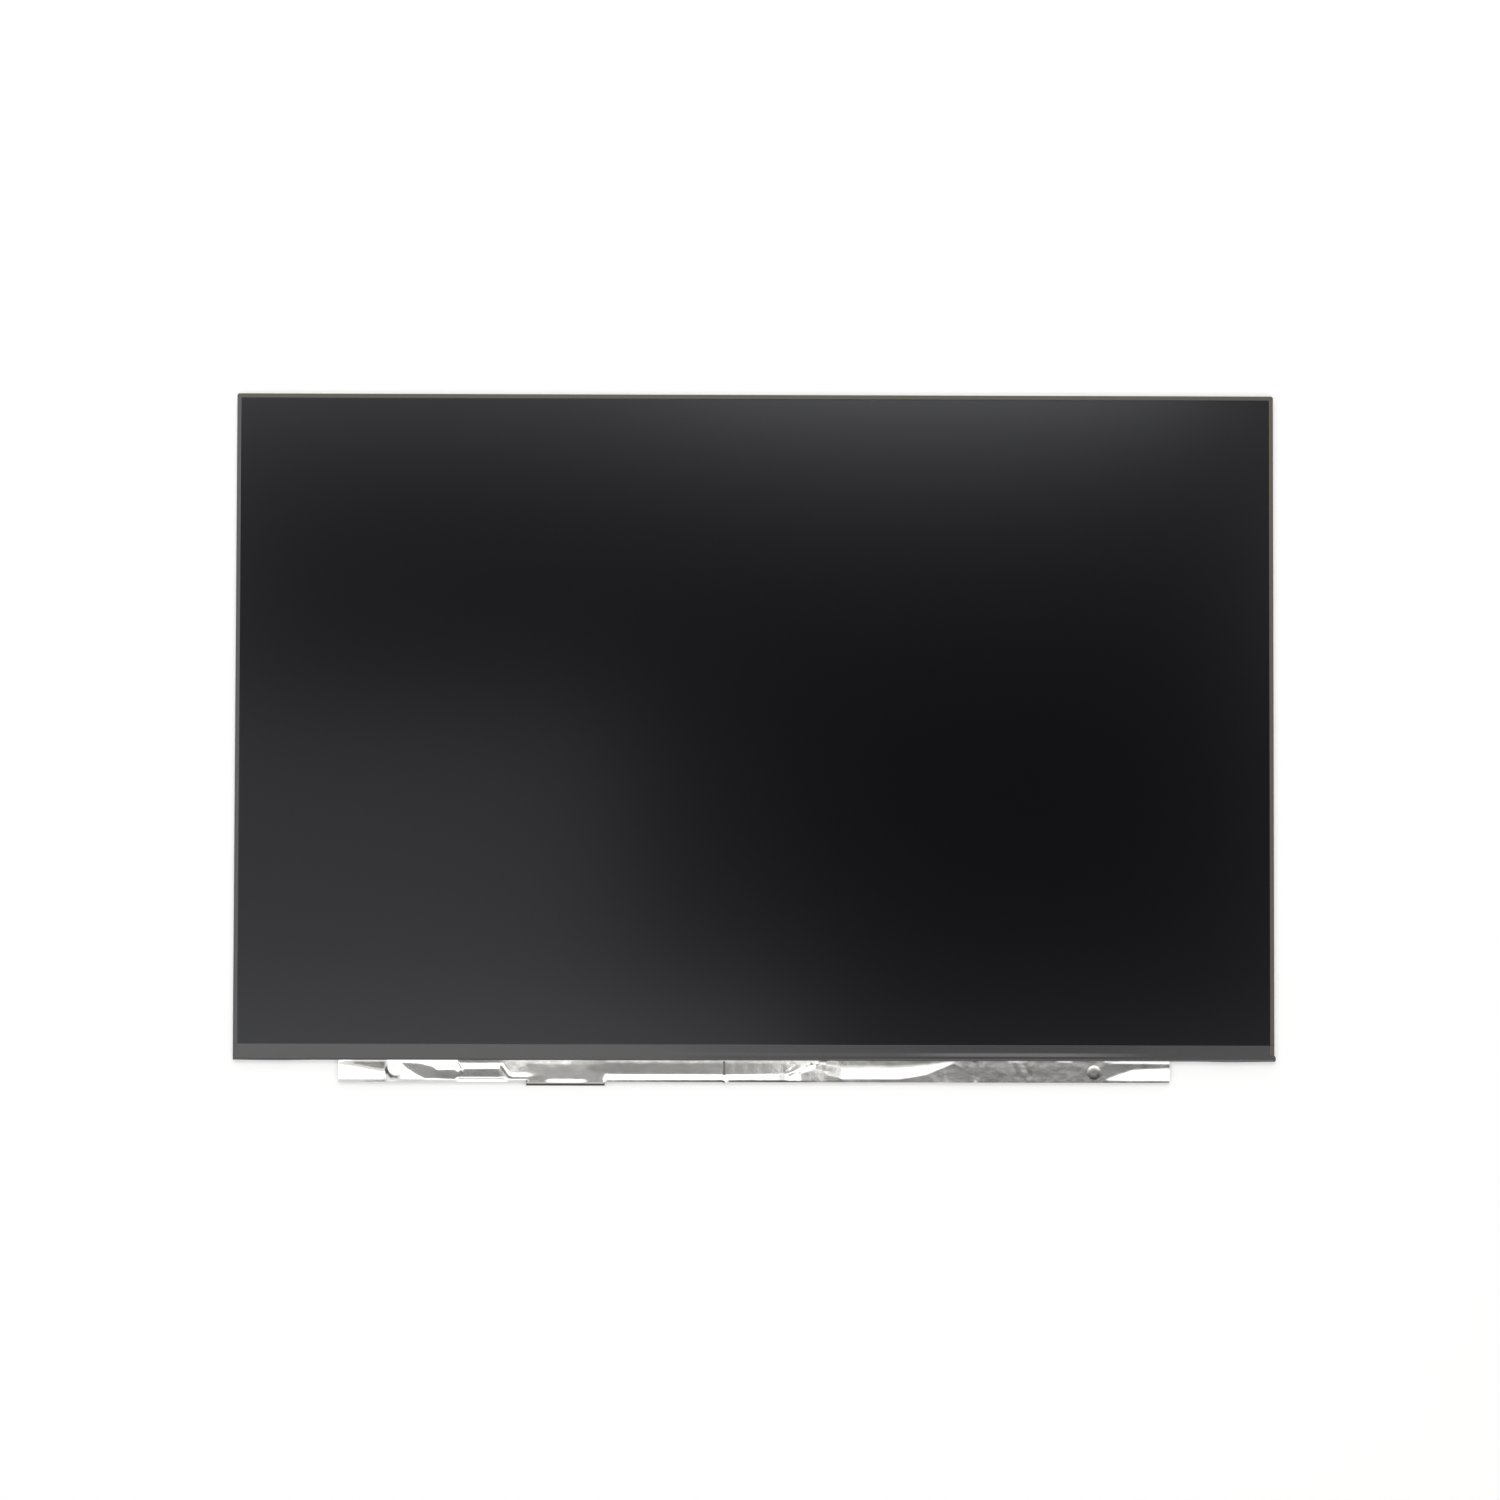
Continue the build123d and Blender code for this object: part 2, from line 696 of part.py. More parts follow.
def make_foil_shield():
    """Creased foil over the front of the board, wrapped round its lower edge."""
    sections = [Plane.YZ.offset(place) * foil_section(fold) for place, fold in foil_stations()]
    foil = loft(sections, ruled=True)
    for place in hole_places:
        opening = Pos(place, board_mid_y) * Circle(board_hole_radius)
        foil -= sheet(opening, board_front_z, front_z - board_front_z)
        foil += foil_dish(place)
    half = connector_half_width + shell_foot + foil_notch_clearance
    left = connector_x - half
    right = connector_x + half
    front_cut = rectangle(left, right, shell_front_y, board_bottom_y)
    foil -= sheet(front_cut, connector_low_z, front_z)
    rear_cut = rectangle(left, right, shell_front_y, board_bottom_y + foil_return + foil_notch_clearance)
    return foil - sheet(rear_cut, connector_low_z, board_front_z - connector_low_z)


def save(name, shape):
    """Writes one node."""
    export_step(shape, f"parts/{name}.step")


def main():
    os.makedirs("parts", exist_ok=True)
    right_tape = make_edge_tape_right()
    save("front_polariser", make_front_polariser())
    save("colour_filter_glass", make_filter_glass())
    save("tft_glass", make_tft_glass())
    save("rear_polariser", make_rear_polariser())
    save("rim_tape", make_rim_tape())
    save("upper_prism_film", sheet(stack_outline(film_bottom_y, 0), upper_prism_z, prism_thickness))
    save("lower_prism_film", sheet(stack_outline(film_bottom_y, 0), lower_prism_z, prism_thickness))
    save("diffuser_film", sheet(stack_outline(film_bottom_y, 0), diffuser_z, diffuser_thickness))
    save("light_guide", sheet(stack_outline(guide_bottom_y, 0), guide_z, guide_thickness))
    save("reflector_sheet", sheet(stack_outline(led_low_y, 0), reflector_z, reflector_thickness))
    save("mould_frame", make_mould_frame())
    save("rear_cover", make_rear_cover())
    save("edge_tape_top", make_edge_tape_top())
    save("edge_tape_right", right_tape)
    save("edge_tape_left", mirror(right_tape, about=Plane.YZ))
    save("ledge_tape", make_ledge_tape())
    save("light_emitters", make_leds())
    save("light_bar_flex", make_light_flex())
    save("driver_chips", make_driver_chips())
    save("ledge_flexes", make_ledge_flexes())
    save("control_board", make_control_board())
    for name, place, length, depth, height in packages:
        save(name, make_package(place, length, depth, height))
    save("power_inductors", make_inductors())
    save("ceramic_capacitors", make_passives(capacitor_runs, capacitor_height))
    save("chip_resistors", make_passives(resistor_runs, resistor_height))
    save("connector_contacts", make_connector_contacts())
    save("connector_housing", make_connector_housing())
    save("connector_shell", make_connector_shell())
    save("foil_shield", make_foil_shield())


main()
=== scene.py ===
# %% [markdown]
# # A laptop screen panel
# The panel lies on its back on a white table. Its matt screen fills the picture, a thin taped rim runs round it,
# and a strip of creased foil covers the control board below the lower edge. The solids of all the pieces come
# from the imported model. This lesson gives them their finishes. It models again the two pieces whose look depends
# on soft creases, the foil and the tape above it, and gives the smallest parts on the board their tinned ends.

# %% Load the solids and keep them where they stand
from math import atan2, cos, exp, hypot, pi, radians, sin, tan

import bmesh
import bpy
from mathutils import Matrix, Vector, noise


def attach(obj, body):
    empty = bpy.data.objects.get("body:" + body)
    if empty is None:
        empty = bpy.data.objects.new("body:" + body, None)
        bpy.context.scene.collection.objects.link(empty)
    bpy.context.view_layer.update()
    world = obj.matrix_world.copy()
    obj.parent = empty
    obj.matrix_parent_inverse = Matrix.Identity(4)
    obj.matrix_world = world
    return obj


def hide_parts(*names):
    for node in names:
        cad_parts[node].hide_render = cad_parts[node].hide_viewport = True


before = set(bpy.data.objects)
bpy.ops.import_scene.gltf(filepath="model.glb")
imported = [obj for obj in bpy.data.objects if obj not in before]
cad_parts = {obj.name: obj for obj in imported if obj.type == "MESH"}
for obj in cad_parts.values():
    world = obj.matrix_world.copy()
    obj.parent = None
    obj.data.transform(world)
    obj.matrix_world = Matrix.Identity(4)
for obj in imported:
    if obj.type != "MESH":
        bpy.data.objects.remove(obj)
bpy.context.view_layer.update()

MM = 0.001
scene = bpy.context.scene
scene.view_settings.view_transform = "Standard"

# %% [markdown]
# ## Two small helpers for materials
# Colours are written the way a picture editor shows them, as sRGB hex values. Shaders count in linear light, so
# one function turns the one into the other. A second function adds a node, sets it up and links it, which keeps
# every material below down to a few lines.

# %% Colour and node helpers
def linear(hex_colour):
    """Turns an sRGB hex colour into the linear values that shaders use."""
    parts = [int(hex_colour[place:place + 2], 16) / 255 for place in (1, 3, 5)]
    return [part / 12.92 if part <= 0.04045 else ((part + 0.055) / 1.055) ** 2.4 for part in parts] + [1.0]


def add_node(tree, kind, values=None, links=None, **settings):
    """Adds a node with its settings, the values of its sockets and the links into it."""
    new = tree.nodes.new(kind)
    for name, value in settings.items():
        setattr(new, name, value)
    for socket, value in (values or {}).items():
        new.inputs[socket].default_value = value
    for socket, source in (links or {}).items():
        tree.links.new(source, new.inputs[socket])
    return new


print("mid grey in linear light:", round(linear("#808080")[0], 4))

# %% [markdown]
# ## One recipe for plain surfaces
# Most small parts have an even surface that still isn't one flat colour: moulded plastic, pressed ferrite or
# rolled metal has a fine grain that shifts the colour and the gloss a little and raises the surface by microns.
# A painted texture could show it, but noise on object coordinates needs no unwrapping and keeps its real size.
# The recipe takes the grain's size in millimetres and stretches it where the real one runs along a direction.

# %% A grained surface
def grained(name, dark, light, grain_mm, roughness, height_mm=0.0, stretch=(1, 1, 1), **sockets):
    """A surface whose grain moves its colour, gloss and height between two close values."""
    material = bpy.data.materials.new(name)
    material.use_nodes = True
    tree = material.node_tree
    shader = tree.nodes["Principled BSDF"]
    for socket, value in sockets.items():
        shader.inputs[socket.replace("_", " ")].default_value = value
    place = add_node(tree, "ShaderNodeTexCoord").outputs["Object"]
    along = add_node(tree, "ShaderNodeMapping", {"Scale": stretch}, {"Vector": place}).outputs["Vector"]
    grain = add_node(tree, "ShaderNodeTexNoise", {"Scale": 1 / (grain_mm * MM), "Detail": 3.0},
                     {"Vector": along})
    colour = add_node(tree, "ShaderNodeMix", {6: linear(dark), 7: linear(light)}, {0: grain.outputs[0]},
                      data_type="RGBA")
    gloss = add_node(tree, "ShaderNodeMapRange", {"To Min": roughness[0], "To Max": roughness[1]},
                     {"Value": grain.outputs[0]})
    tree.links.new(colour.outputs[2], shader.inputs["Base Color"])
    tree.links.new(gloss.outputs[0], shader.inputs["Roughness"])
    if height_mm:
        relief = add_node(tree, "ShaderNodeBump", {"Distance": height_mm * MM}, {"Height": grain.outputs[0]})
        tree.links.new(relief.outputs[0], shader.inputs["Normal"])
    return material


def dress(material, *names):
    """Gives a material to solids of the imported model."""
    for name in names:
        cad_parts[name].material_slots[0].material = material
    print(material.name, "on", ", ".join(names))


# %% [markdown]
# ## The screen
# The front of the cell is a polarising film of cellulose triacetate with an anti-glare hard coat. Tiny silica
# grains in the coat break up reflections, so the black screen shows broad soft lights and no mirror image. The
# film swallows nearly all light that enters it. The coat's grain is a few microns, too fine to show, so it is
# the roughness of the shader, and a faint cloudiness a few tenths of a millimetre wide stands in for the grain.

# %% Anti-glare film
# A deep black with broad soft lights and no mirror image.
film = grained("anti-glare coated polariser film", "#030304", "#050507", 0.4, (0.17, 0.185), IOR=1.5,
               Specular_Tint=linear("#f6f7ff"))
dress(film, "front_polariser")

# %% [markdown]
# ## Glass, tapes and mouldings round the edge
# Two sheets of thin display glass carry the film. Their edge is seen only in the narrow gap beside the tape,
# where the black border printed inside makes them dark. Polyester tape with a matt coat seals the edges: it is
# grey on the left, and warmer at the top and the right, where the adhesive shows through. The mould frame is
# black polycarbonate with the light texture of its mould.

# %% Edge materials
# The glass gives a thin dark glossy line, and the tapes even greys with no highlight. The foam tape and the
# moulding stay dull and nearly black.
cell_glass = grained("thin display glass with a dark border", "#1c1b1a", "#232120", 1.5, (0.08, 0.14),
                     IOR=1.52)
grey_tape = grained("grey matt polyester tape", "#4d4e4e", "#585958", 0.5, (0.42, 0.55), 0.004)
olive_tape = grained("warm grey matt polyester tape", "#514d40", "#5b574a", 0.5, (0.42, 0.55), 0.004)
rim_tape = grained("black double-sided foam tape", "#0d0d0d", "#161616", 0.3, (0.6, 0.75), 0.01)
moulding = grained("black moulded polycarbonate", "#111112", "#1a1a1b", 0.25, (0.4, 0.5), 0.006)
dress(cell_glass, "colour_filter_glass", "tft_glass")
dress(grey_tape, "edge_tape_left")
dress(olive_tape, "edge_tape_top", "edge_tape_right")
dress(rim_tape, "rim_tape")
dress(moulding, "mould_frame")

# %% [markdown]
# ## The backlight inside
# Behind the cell lie films that spread and gather light, a clear acrylic light guide and a white reflector. They
# show only when the panel is taken apart, but each still gets the finish it has: prism films are ribbed finer
# than the eye can see, which gives a satin sheen, and the reflector is foamed polyester, white and matt.

# %% Backlight materials
# The films are pale satin sheets, the acrylic is clear and glossy, and the reflector an even matt white.
rear_film = grained("smooth rear polariser film", "#5c5d60", "#66676a", 2.0, (0.08, 0.12), IOR=1.5)
prism_film = grained("ribbed polyester prism film", "#dfe1e4", "#eceef0", 0.6, (0.3, 0.4), 0.01, (1, 0.05, 1))
acrylic = grained("moulded clear acrylic", "#e6ebec", "#f0f4f4", 3.0, (0.05, 0.1), IOR=1.49,
                  Transmission_Weight=0.6)
reflector = grained("foamed white polyester film", "#f0f0ee", "#f8f8f6", 0.4, (0.6, 0.75), 0.006)
dress(rear_film, "rear_polariser")
dress(prism_film, "upper_prism_film", "lower_prism_film", "diffuser_film")
dress(acrylic, "light_guide")
dress(reflector, "reflector_sheet")

# %% [markdown]
# ## Metal cover
# The tray behind everything is pressed from rolled aluminium sheet. Rolling leaves long fine lines along the
# sheet, so the grain is stretched forty to one along X, and the gloss changes with it.

# %% Rolled aluminium
# Pale metal with long fine streaks and a soft sheen along them.
aluminium = grained("rolled aluminium sheet", "#b9bbbd", "#cdcfd1", 0.5, (0.26, 0.38), 0.004, (0.025, 1, 1),
                    Metallic=1.0)
dress(aluminium, "rear_cover")

# %% [markdown]
# ## Light bar, flexible circuits and chips
# The side-view lights are white moulded plastic with a little yellow phosphor in their windows. The flexible
# circuits are amber polyimide over copper: copper lines run across them half a millimetre apart. The drivers
# on the glass are bare polished silicon, and the chips on the board are moulded in black epoxy.

# %% Small electronic materials
# The lights are creamy white, the silicon is a dark mirror, epoxy and ferrite are dull and dark, and the
# flexible circuits are amber with fine lines.
led_plastic = grained("white moulded plastic with phosphor", "#e8dfae", "#f4f0e2", 0.8, (0.35, 0.5))
silicon = grained("polished silicon", "#4a4b55", "#565763", 0.6, (0.08, 0.14), Metallic=0.6)
epoxy = grained("black moulded epoxy", "#191919", "#242424", 0.15, (0.5, 0.65), 0.008)
ferrite = grained("pressed ferrite", "#3a3a3c", "#48484a", 0.2, (0.55, 0.7), 0.01)
flex = grained("amber polyimide over copper lines", "#7a4a16", "#a8702c", 0.5, (0.3, 0.42), 0.005,
               (1, 0.01, 1))
dress(led_plastic, "light_emitters")
dress(silicon, "driver_chips")
dress(epoxy, "timing_controller", "memory_chip", "power_chip", "light_driver_chip")
dress(ferrite, "power_inductors")
dress(flex, "light_bar_flex", "ledge_flexes")

# %% [markdown]
# ## The control board
# The board is glass-fibre laminate under green solder mask. Copper tracks lie under the mask and show as lighter
# lines, and small plated holes take signals through it. Real tracks are etched from a drawing. Here bands run
# along the board, a slow noise picks the stretches that have them, and scattered cells place the holes: nobody
# reads the circuit, but the eye knows its grain. All of it follows object coordinates in real millimetres.

# %% Board with tracks and plated holes
track_pitch_mm = 0.55
track_group_mm = 9.0
hole_spacing_mm = 3.4
pad_radius_mm, hole_radius_mm, pad_edge_mm = 0.24, 0.11, 0.03
track_height_mm = 0.02
# Blender's wave texture runs through twenty radians for each unit of its scale.
wave_radians = 20.0
line_start, line_full = 0.5, 0.7
group_start, group_full = 0.47, 0.48


def circuit_board(name):
    """Solder mask with raised tracks in groups, and gold-plated holes whose dark middles are painted shade: matt
    green with fine bright dots.
    """
    material = grained(name, "#0f3d22", "#1a5530", 0.7, (0.28, 0.4), 0.006, (0.06, 1, 1))
    tree = material.node_tree
    shader = tree.nodes["Principled BSDF"]
    mask = shader.inputs["Base Color"].links[0].from_socket
    relief = shader.inputs["Normal"].links[0].from_socket
    place = add_node(tree, "ShaderNodeTexCoord").outputs["Object"]
    bands = add_node(tree, "ShaderNodeTexWave", {"Scale": 2 * pi / wave_radians / (track_pitch_mm * MM)},
                     {"Vector": place}, bands_direction="Y")
    lines = add_node(tree, "ShaderNodeMapRange", {"From Min": line_start, "From Max": line_full},
                     {"Value": bands.outputs[1]})
    groups = add_node(tree, "ShaderNodeTexNoise", {"Scale": 1 / (track_group_mm * MM), "Detail": 0.0},
                      {"Vector": place})
    picked = add_node(tree, "ShaderNodeMapRange", {"From Min": group_start, "From Max": group_full},
                      {"Value": groups.outputs[0]})
    tracks = add_node(tree, "ShaderNodeMath", links={0: lines.outputs[0], 1: picked.outputs[0]},
                      operation="MULTIPLY")
    cells = add_node(tree, "ShaderNodeTexVoronoi", {"Scale": 1 / (hole_spacing_mm * MM)}, {"Vector": place},
                     voronoi_dimensions="2D")
    edge = pad_edge_mm / hole_spacing_mm
    discs = []
    for radius_mm in (pad_radius_mm, hole_radius_mm):
        radius = radius_mm / hole_spacing_mm
        discs.append(add_node(tree, "ShaderNodeMapRange", {"From Min": radius, "From Max": radius - edge},
                              {"Value": cells.outputs["Distance"]}).outputs[0])
    pads, holes = discs
    colour = mask
    # Each pad gets a near-black middle that is painted shade: the hole is not cut into the board.
    for share, paint in ((tracks.outputs[0], "#246a3f"), (pads, "#d2b46a"), (holes, "#0a140e")):
        colour = add_node(tree, "ShaderNodeMix", {7: linear(paint)}, {0: share, 6: colour},
                          data_type="RGBA").outputs[2]
    plated = add_node(tree, "ShaderNodeMath", links={0: pads, 1: holes}, operation="SUBTRACT", use_clamp=True)
    raised = add_node(tree, "ShaderNodeBump", {"Distance": track_height_mm * MM},
                      {"Height": tracks.outputs[0], "Normal": relief})
    tree.links.new(colour, shader.inputs["Base Color"])
    tree.links.new(plated.outputs[0], shader.inputs["Metallic"])
    tree.links.new(raised.outputs[0], shader.inputs["Normal"])
    return material


board = circuit_board("green solder mask over copper tracks")
dress(board, "control_board")

# %% [markdown]
# ## Connector
# The connector has an ivory moulded housing, gold-plated contacts and a shell of dark grey steel.

# %% Connector materials
# The housing is a warm white with a soft gloss, the contacts bright gold, and the shell a dull dark metal.
ivory = grained("ivory moulded liquid crystal polymer", "#f1ede2", "#f8f5ee", 0.4, (0.4, 0.5), 0.004)
gold = grained("gold plating", "#d9a94e", "#e8c06a", 0.3, (0.2, 0.3), Metallic=1.0)
steel = grained("dark grey steel", "#504e4c", "#5c5956", 0.5, (0.26, 0.34), 0.003, Metallic=1.0)
dress(ivory, "connector_housing")
dress(gold, "connector_contacts")
dress(steel, "connector_shell")

# %% [markdown]
# ## Passives
# Capacitors are fired brown ceramic and resistors are black glass on white ceramic. Both have tinned caps at
# their two ends, which are part of the same solid. One material for the whole solid would hide the caps, so a
# copy of it is made in which the faces near both ends of each part take the tin. A helper turns the finished
# bmesh into an object that rides on the panel in place of the plain solid.

# %% Passives with tinned ends
cap_start = 0.24 * MM
weld = 0.001 * MM


def make_piece(name, mesh_data, material, node):
    """An object at the origin from a bmesh, riding on the panel in place of one of its solids."""
    mesh = bpy.data.meshes.new(name)
    mesh_data.to_mesh(mesh)
    mesh_data.free()
    piece = bpy.data.objects.new(name, mesh)
    scene.collection.objects.link(piece)
    mesh.materials.append(material)
    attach(piece, "root")
    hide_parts(node)
    print(name, "faces:", len(mesh.polygons))
    return piece


def separate_parts(mesh_data):
    """The parts of a mesh that don't touch, each as a list of its faces."""
    seen = set()
    for start in mesh_data.faces:
        if start in seen:
            continue
        seen.add(start)
        part = [start]
        for face in part:
            beside = [other for edge in face.edges for other in edge.link_faces if other not in seen]
            seen.update(beside)
            part.extend(dict.fromkeys(beside))
        yield part


def tin_ends(name, node, body, tin):
    """A copy of a group of two-ended parts, with tin on the faces near both ends of each."""
    copy = bmesh.new()
    copy.from_mesh(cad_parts[node].data)
    bmesh.ops.remove_doubles(copy, verts=copy.verts, dist=weld)
    for part in separate_parts(copy):
        ends = [vert.co.x for face in part for vert in face.verts]
        middle = (min(ends) + max(ends)) / 2
        for face in part:
            if abs(face.calc_center_median().x - middle) > cap_start:
                face.material_index = 1
    make_piece(name, copy, body, node).data.materials.append(tin)


# Small brown or black bodies, each between two bright ends.
capacitor = grained("fired brown ceramic", "#8a6a4a", "#a07d58", 0.2, (0.4, 0.5))
resistor = grained("black glass on ceramic", "#141414", "#202020", 0.2, (0.25, 0.35))
tin = grained("dipped tin", "#b3b4b5", "#c8c9ca", 0.15, (0.28, 0.4), 0.004, Metallic=1.0)
tin_ends("tinned_capacitors", "ceramic_capacitors", capacitor, tin)
tin_ends("tinned_resistors", "chip_resistors", resistor, tin)

# %% [markdown]
# ## The creased foil
# The board is wrapped in soft aluminium foil, pressed on by hand. It comes off the panel's edge, lies down on
# the board, and every small slope turns its mirror towards another part of the room, so it shows white, grey
# and dark patches. A flat plate with a bump map would show none of that from the side. So a fine grid is
# pushed into shape: a table gives, at places along the board, how high the foil starts and how it slopes on
# its way to the lower edge, and the grid follows it in between. Short folds and round dents where the foil is
# pressed in come on top, and a narrow band across the foil is painted dark grey as painted shade of a crease.

# %% The table of creases
# Each row: place along the board, height at the panel's edge, then five runs of reach and slope in degrees.
foil_creases = [
    (-139.7, 1.97, (0.3, -3), (0.8, -3), (1.2, 3.5), (6.6, 0), (7.26, 5)),
    (-134.0, 1.9, (0.35, 0), (1.6, 6), (2.2, 3), (6.6, 0), (7.26, 5.5)),
    (-125.0, 1.79, (0.35, 0), (3.2, 6.1), (3.9, 3), (6.6, 0), (7.26, 6.5)),
    (-124.0, 1.82, (0.35, 0), (3.0, 6.1), (3.6, 3), (6.4, 0), (7.26, 6.5)),
    (-122.7, 1.95, (0.35, 0), (2.4, -0.7), (3.8, 0), (5.8, 6.6), (7.26, 1.5)),
    (-121.2, 1.95, (0.35, 0), (2.4, -0.7), (4.8, 0), (6.2, 6.6), (7.26, 2)),
    (-119.4, 1.96, (0.35, 0), (2.4, -0.7), (5.2, 0), (6.4, 6.4), (7.26, 3)),
    (-118.2, 2.06, (0.8, 0), (1.0, -3), (1.4, -3), (6.6, 0), (7.26, 5)),
    (-116.2, 2.09, (0.9, 0), (1.2, -3), (3.2, -3.3), (6.6, 0), (7.26, 5)),
    (-112.8, 2.09, (1.1, 0), (1.4, -3), (5.2, -3.4), (6.6, 0), (7.26, 5)),
    (-110.4, 2.09, (1.5, 0), (1.8, -3), (6.2, -3.5), (6.7, 0), (7.26, 5)),
    (-107.8, 2.08, (2.2, 0), (2.5, -3), (6.2, -3.5), (6.7, 0), (7.26, 5)),
    (-106.4, 2.04, (3.2, 0), (3.5, -2), (6.2, -4), (6.7, 0), (7.26, 5)),
    (-100.4, 2.04, (3, 0), (3.4, -2), (6.2, -4), (6.7, -4), (7.26, 5)),
    (-99.4, 2.06, (1, -3), (4, 0), (5.9, -4), (6.3, 7), (7.26, 0)),
    (-97.7, 2.08, (1, -4), (3, 0), (5.9, -4), (6.3, 7), (7.26, 0)),
    (-85.9, 2.08, (1, -4), (2.9, 0), (5.9, -4), (6.3, 7), (7.26, 0)),
    (-84.6, 2.06, (1, -3), (3, -3), (5.9, -2.5), (6.4, 6), (7.26, 0)),
    (-81.6, 2.06, (1, -2), (4.3, -2.2), (5.7, -1.2), (6.5, -4), (7.26, 4)),
    (-76.5, 2.06, (1, -2), (4.3, -2.5), (5.7, 0), (6.5, -4), (7.1, 4)),
    (-75.5, 2.07, (1.2, -2.0), (4.4, -3), (5.6, -1.5), (6.6, -3.5), (7.45, -3)),
    (-70.8, 2.08, (1.4, -2.1), (4, -3), (5.6, -3), (6.5, -3), (7.4, -3)),
    (-68.0, 2.08, (1.4, -2.1), (4, -3), (5.6, -3), (6.4, -3), (7.5, 0)),
    (-58.0, 2.08, (1.4, -2.2), (4, -3), (5.6, -3), (6.4, -3), (7.5, 0)),
    (-55.2, 2.08, (1.4, -2.8), (4, -3.5), (5.6, -3), (6.5, -3), (7.4, -3)),
    (-51.0, 2.08, (1.4, -3.2), (4, -3.8), (5.6, -3), (6.5, -3), (7.4, -3)),
    (-49.6, 2.09, (1, -2.2), (4.4, -4), (5, -1), (6.8, 0), (7.26, 6)),
    (-47.6, 2.09, (1, -2.4), (4.6, -4), (4.9, -1), (6.8, 0), (7.26, 6)),
    (-10.7, 2.09, (1, -2.4), (4.6, -4), (4.9, -1), (6.8, 0), (7.26, 6)),
    (-9.5, 2.09, (1, -2.4), (4.6, -4), (4.9, -1), (6.9, 0), (7.7, 0)),
    (-8.3, 2.09, (1, -2.4), (4.6, -4), (4.9, -1), (6.8, 0), (7.26, 6)),
    (10.9, 2.09, (1, -2.4), (4.3, -4), (4.6, -1), (6.8, 0), (7.26, 6)),
    (12.5, 2.08, (0.9, -2.5), (3.9, -3.5), (4.4, -0.5), (6.9, 0), (7.26, 6)),
    (15.6, 2.07, (1.0, -1.7), (3.6, -2.3), (4.4, -0.6), (6.8, 0), (7.26, 3)),
    (20.6, 2.05, (0.5, -1), (2.6, -3.4), (3.4, -1.5), (6.7, 0), (7.26, 0.8)),
    (24.0, 2.05, (1.5, -0.4), (3.7, -3.9), (4.8, 0), (6.7, 0), (7.26, 0.7)),
    (27.5, 2.05, (1.6, -0.2), (2.4, -1.2), (5.2, -3.2), (6.7, 0), (7.26, 0.6)),
    (29.7, 2.05, (1.6, 0), (2.6, -1.2), (6.2, -3.3), (6.7, 0.5), (7.26, 0.6)),
    (49.2, 2.05, (1.6, 0), (2.5, -1.2), (6.1, -3.3), (6.6, 0.5), (7.26, 0.6)),
    (57.6, 2.05, (1.0, 0), (1.8, -1.2), (4.7, -3.3), (5.2, 0.4), (7.26, 0.3)),
    (64.3, 2.04, (0.4, 0), (0.9, -2), (2, -3.3), (2.5, 0.4), (7.26, 0.1)),
    (67.0, 2.03, (0.3, 0), (0.5, -2), (0.8, -3), (1.2, 0.4), (7.26, 0.1)),
    (72.7, 2.03, (0.3, 0), (2, -0.3), (4, 0.05), (6.7, 0.25), (7.26, 0.4)),
    (84.8, 2.03, (0.3, 0), (2, -0.3), (4, 0.05), (6.7, 0.25), (7.26, 0.4)),
    (86.1, 2.05, (0.5, -1.5), (2, -0.2), (4, 0.05), (6.7, 0.25), (7.26, 0.4)),
    (91.2, 2.05, (0.5, -1.5), (2, -0.2), (4, 0.05), (6.7, 0.25), (7.26, 0.4)),
    (92.2, 2.03, (0.3, 0), (2, -0.3), (4, 0.05), (6.7, 0.25), (7.26, 0.4)),
    (101.3, 2.03, (0.3, 0), (2, -0.3), (4, 0.05), (6.7, 0.25), (7.26, 0.4)),
    (102.3, 2.05, (0.5, -1.5), (2, -0.2), (4, 0.05), (6.7, 0.25), (7.26, 0.4)),
    (106.6, 2.05, (0.5, -1.5), (2, -0.2), (4, 0.05), (6.7, 0.25), (7.26, 0.4)),
    (107.6, 2.03, (0.3, 0), (2, -0.3), (4, 0.05), (6.7, 0.25), (7.26, 0.4)),
    (117.0, 2.03, (0.3, 0), (2, -0.3), (4, 0.05), (6.7, 0.25), (7.26, 0.4)),
    (118.4, 2.05, (0.5, -2), (1.0, 0.2), (6.0, 0.2), (6.5, -1.5), (7.26, 0.6)),
    (122.0, 2.05, (0.2, 0), (0.7, -4), (4.7, 0.2), (6.5, -3), (7.26, 0.6)),
    (127.5, 2.06, (0.2, 0), (0.7, -4), (2.9, 0.2), (6.5, -3.2), (7.26, 0.6)),
    (139.7, 2.04, (0.2, 0), (0.8, -4), (2.4, 0.3), (6.5, -3.2), (7.26, 0.6)),
]
# Folds: where each starts and ends as place and reach, its height, and its widths to the left and the right.
foil_folds = [
    (-99.5, 1.4, -98.0, 4.0, 0.045, 0.6, 0.6),
    (-84.9, 1.7, -82.2, 5.3, 0.05, 0.7, 0.7),
    (10.5, 3.2, 13.0, 1.6, 0.02, 0.8, 0.6),
    (12.0, 5.4, 19.0, 1.6, 0.035, 1.2, 1.0),
    (17.5, 2.4, 23.5, 0.4, 0.03, 1.0, 0.9),
    (74.4, 0.6, 74.4, 6.5, 0.02, 0.9, 0.9),
    (86.6, 0.4, 88.6, 4.6, 0.012, 1.6, 1.3),
    (90.4, 0.4, 92.6, 5.0, 0.015, 1.5, 1.3),
]
# Where the foil bulges over a part of the board or is pressed into a hole: place, reach, radius, height, and how
# flat its middle is.
foil_bumps = [(-120.8, 3.3, 1.9, 0.035, 3), (114.3, 3.8, 2.3, -0.035, 4)]
# A narrow band painted dark grey as painted shade of a crease: left and right end, and upper and lower reach.
crease_shade_band = (-10.45, -9.65, 0.3, 4.9)
panel_edge_y = -112.16
foil_start = 0.0
print("creases:", len(foil_creases), "folds:", len(foil_folds), "bumps:", len(foil_bumps))

